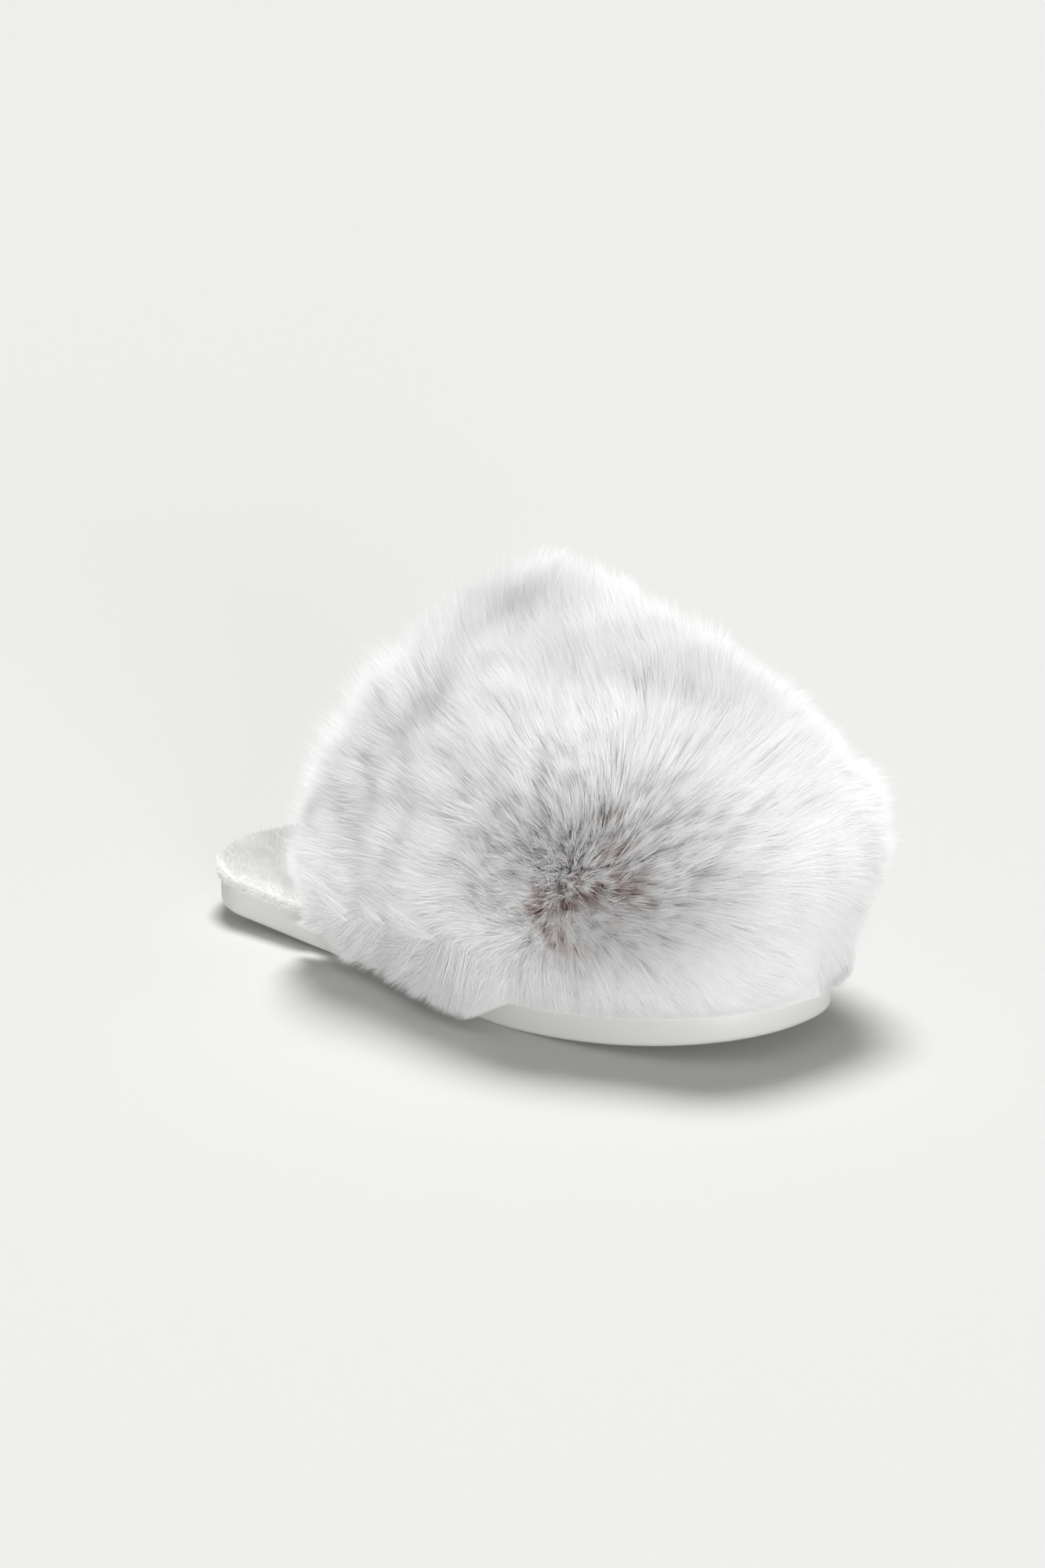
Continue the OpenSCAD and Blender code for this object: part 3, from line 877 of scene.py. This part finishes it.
# the skin's two directions, in millimetres a degree, and its outward normal
def skinAt(root, deg, f):
    ahead, behind = np.minimum(deg + 0.4, 179.9), deg - 0.4
    degMm = (upperPoint(ahead, f, 0.0, 1.0) - upperPoint(behind, f, 0.0, 1.0)) / 0.8
    above, below = np.minimum(f + 0.5, 179.9), np.maximum(f - 0.5, 0.1)
    fMm = upperPoint(deg, above, 0.0, 1.0) - upperPoint(deg, below, 0.0, 1.0)
    normal = unit(np.cross(fMm, degMm))
    middle = (0, -30, 30)
    return degMm, fMm, normal * np.sign((normal * (root - middle)).sum(1, keepdims=True))


# the pile lies away from the parting on the outer side, and down on the inner side
def pileFlow(rng, root, normal, dist):
    outer = unit(onSkin(root - np.array(fur["parting"]), normal))
    fromSwirl = root - np.array(fur["swirl"])
    near = np.exp(-(np.linalg.norm(fromSwirl, axis=1) / fur["swirlSize"]) ** 2)[:, None]
    outer = unit(outer + fur["swirlPull"] * near * unit(onSkin(fromSwirl, normal)))
    inner = np.stack([0 * dist, 0.5 * (root[:, 1] - fur["parting"][1]) / 60, -np.ones(len(dist))], -1)
    side = ramp(-8, 34, root[:, 0])[:, None]
    flow = unit(outer * (1 - side) + onSkin(inner, normal) * side)
    large, small, single = fur["wander"]
    turn = large * lumps(root, 24, 3) + small * lumps(root, 9, 4) + rng.normal(0, single, len(root))
    turn = (np.radians(turn) * ramp(4, 30, dist))[:, None] * (1 - 0.6 * side)
    return np.cos(turn) * flow + np.sin(turn) * np.cross(normal, flow)


# how high the pile stands, as a share of its length
def pileHeight(root, dist):
    x, y, z = root.T
    height = 1 + 0.07 * lumps(root, 14, 6) - fur["partingDepth"] * (1 - ramp(2, fur["partingRadius"], dist))
    instep = ramp(58, 104, z) * (0.1 + 0.9 * ramp(-80, -30, y)) * (0.22 + 0.78 * ramp(2, -26, x))
    return height + fur["crest"] * instep + fur["toe"] * ramp(-85, -115, y)


# the step in degrees along the skin's two directions that goes lay millimetres with the flow
def stepAlong(flow, lay, degMm, fMm):
    g11, g22, g12 = (degMm ** 2).sum(1), (fMm ** 2).sum(1), (degMm * fMm).sum(1)
    b1, b2 = (flow * degMm).sum(1) * lay, (flow * fMm).sum(1) * lay
    det = np.maximum(g11 * g22 - g12 ** 2, 1e-6)
    dDeg, dF = (g22 * b1 - g12 * b2) / det, (g11 * b2 - g12 * b1) / det
    return np.clip(dDeg, -22, 22), np.clip(dF, -40, 40)


# the hairs gather into locks of three sizes, and the largest ones stand out at the rear of the outer side
def gatherLocks(root, deg, f, tipDeg, tipF, height, pull):
    rearOuter = ramp(-40, 10, root[:, 1]) * ramp(16, -10, root[:, 0])
    for size, share, seed in fur["locks"]:
        tufty = rearOuter if size == fur["locks"][0][0] else 0
        ids = lockOf(root, size, seed)
        n = ids.max() + 1
        lockRng = makeRng(seed)
        gather = share * (0.2 + 0.8 * pull) * (1 + fur["tuftGather"] * tufty)
        tipDeg = tipDeg + gather * (meanOf(ids, deg)[ids] - deg)
        tipF = tipF + gather * (meanOf(ids, f)[ids] - f)
        height = height * (1 + lockRng.normal(0, 0.035, n)[ids] * (1 + fur["tuftHeight"] * tufty))
        tipDeg = tipDeg + lockRng.normal(0, fur["lockTurn"][0], n)[ids]
        tipF = tipF + lockRng.normal(0, fur["lockTurn"][1], n)[ids]
    return tipDeg, tipF, height


# the lowest hairs hang over the sole's wall, further down behind the ball of the foot
def hangOver(rng, tip, normal):
    count = len(tip)
    low = 1 - ramp(0, 16, tip[:, 2] - sole["wall"] - liftAt(tip[:, 1]))
    hang = ramp(-52, -30, tip[:, 1]) * (1 - 0.75 * ramp(34, 60, tip[:, 1]))
    tip[:, 2] -= low * (2.0 + fur["hangDown"] * hang) * rng.uniform(0.6, 1.1, count)
    tip[:, :2] += unit(normal[:, :2]) * (low * hang * fur["hangOut"])[:, None]
    lowest = 1.2 + rng.uniform(0, 2.4, count) + (sole["wall"] - 2.5) * (1 - hang)
    tip[:, 2] = np.maximum(tip[:, 2], liftAt(tip[:, 1]) + lowest)


def growFur():
    rng = makeRng(fur["seed"])
    count = fur["count"]
    deg, f = spreadRoots(rng, count)
    root = upperPoint(deg, f, 0.0, 1.0)
    degMm, fMm, normal = skinAt(root, deg, f)
    dist = np.linalg.norm(root - np.array(fur["parting"]), axis=1)
    flow = pileFlow(rng, root, normal, dist)
    lay = fur["combed"] * ramp(-8, 66, dist) * (1 + 0.3 * lumps(root, 16, 5))
    dDeg, dF = stepAlong(flow, lay, degMm, fMm)
    aside = np.exp(-(dist / fur["turnReach"]) ** 2)
    tipDeg, tipF = deg + dDeg + fur["partingTurn"][0] * aside, f + dF + fur["partingTurn"][1] * aside
    tipDeg, tipF, height = gatherLocks(root, deg, f, tipDeg, tipF, pileHeight(root, dist), ramp(6, 40, dist))
    tipDeg = tipDeg + rng.normal(0, fur["strayTurn"][0], count)
    tipF = tipF + rng.normal(0, fur["strayTurn"][1], count)
    under = rng.uniform(0, 1, count) < fur["underShare"]
    height = height * np.where(under, rng.uniform(0.72, 0.93, count), rng.uniform(0.9, 1.03, count))
    # specks where the pile parts down to the ground
    tail = np.linalg.norm(root - np.array(fur["partingTail"]), axis=1) + 7
    speck = lumps(root, fur["speckSize"], 51) + 0.25 * lumps(root, 7, 52)
    bare = speck > 0.17 + 0.9 * ramp(7, 25, np.minimum(dist, tail))
    height = np.where(bare, height * fur["bareLength"], height)
    rearFur = angleAt(upper["sideBack"] + fur["back"])
    tipDeg = np.clip(tipDeg, rearFur + rng.uniform(0, 2.5, count), 179.7)
    tipF = np.clip(tipF, 0.3, 179.7)
    tip = upperPoint(tipDeg, tipF, fur["length"] * height, fur["edgeLength"] / fur["length"])
    hangOver(rng, tip, normal)
    mid = root + normal * (np.linalg.norm(tip - root, axis=1) * 0.5)[:, None]
    # the pile is a little thinner at the parting
    keep = rng.uniform(0, 1, count) < 0.85 + 0.15 * ramp(3, 20, dist)
    middle, patches, single = fur["tint"]
    tint = middle + patches * lumps(root, 20, 8) + rng.normal(0, single, count)
    tint = np.where(bare, 0.04, np.clip(tint, bareTint + 0.02, 0.97))
    width = fur["width"] * rng.uniform(0.6, 1.25, count)
    order = np.argsort(root[:, 1])
    order = order[keep[order]]
    for k, chunk in enumerate(np.array_split(order, fur["pieces"])):
        piece = hairMesh(f"fur_{k + 1}", root[chunk], mid[chunk], tip[chunk], width[chunk], tint[chunk],
                         normal[chunk], 40 + k)
        finishPiece(piece, furMaterial, "vamp_fur")
    return len(order)


print("fur grown:", growFur(), "hairs")

stage = {
    "floorSize": 40.0,
    "floorColour": (0.735, 0.73, 0.72),
    "azimuth": -47.5,
    "elevation": 18.2,
    "distance": 1.5,
    "lens": 96.3,
    "aim": (0.0, 0.0, 0.040),
    "aimOff": (-0.0031776, 0.0178879),   # how far right of and below the middle it stands, over its distance
    "skyColour": (1.0, 0.998, 0.992),
    "skyStrength": 0.26,
    # strength, degrees across for a soft edge, and the direction it comes from
    "lamps": {"key": (2.85, 24.0, (0.31, 0.27, 1.38)), "fill": (3.4, 26.0, (-0.53, -0.80, 0.0))},
    "bounces": 12,
}


def setStage():
    deselect()
    bpy.ops.mesh.primitive_plane_add(size=stage["floorSize"], location=(0, 0, 0))
    floor = bpy.context.active_object
    floor.name = "floor"
    floor.data.materials.append(newMaterial("studioFloor", stage["floorColour"], 0.95,
                                            Specular_IOR_Level=0.1)[0])
    az, el = math.radians(stage["azimuth"]), math.radians(stage["elevation"])
    backward = Vector((math.sin(az) * math.cos(el), -math.cos(az) * math.cos(el), math.sin(el)))
    rightward = Vector((math.cos(az), math.sin(az), 0))
    upward = backward.cross(rightward)
    # the camera turns so that the aim point stands off the middle, with no lens shift
    right, down = stage["aimOff"]
    look = (-backward - rightward * right + upward * down).normalized()
    camera = bpy.data.objects.new("camera", bpy.data.cameras.new("camera"))
    bpy.context.scene.collection.objects.link(camera)
    camera.location = Vector(stage["aim"]) + backward * stage["distance"]
    camera.rotation_euler = look.to_track_quat("-Z", "Y").to_euler()
    camera.data.sensor_width = 36.0
    camera.data.lens = stage["lens"]
    camera.data.clip_end = 80
    bpy.context.scene.camera = camera
    for name, (strength, width, place) in stage["lamps"].items():
        lamp = bpy.data.objects.new(name, bpy.data.lights.new(name, "SUN"))
        lamp.data.energy = strength
        lamp.data.angle = math.radians(width)
        bpy.context.scene.collection.objects.link(lamp)
        lamp.rotation_euler = (-Vector(place)).to_track_quat("-Z", "Y").to_euler()
    world = bpy.data.worlds.new("studio")
    bpy.context.scene.world = world
    world.use_nodes = True
    background = world.node_tree.nodes["Background"]
    background.inputs["Color"].default_value = (*stage["skyColour"], 1)
    background.inputs["Strength"].default_value = stage["skyStrength"]
    bpy.context.scene.view_settings.view_transform = "Standard"
    bpy.context.scene.cycles.diffuse_bounces = stage["bounces"]


setStage()
print("stage set")
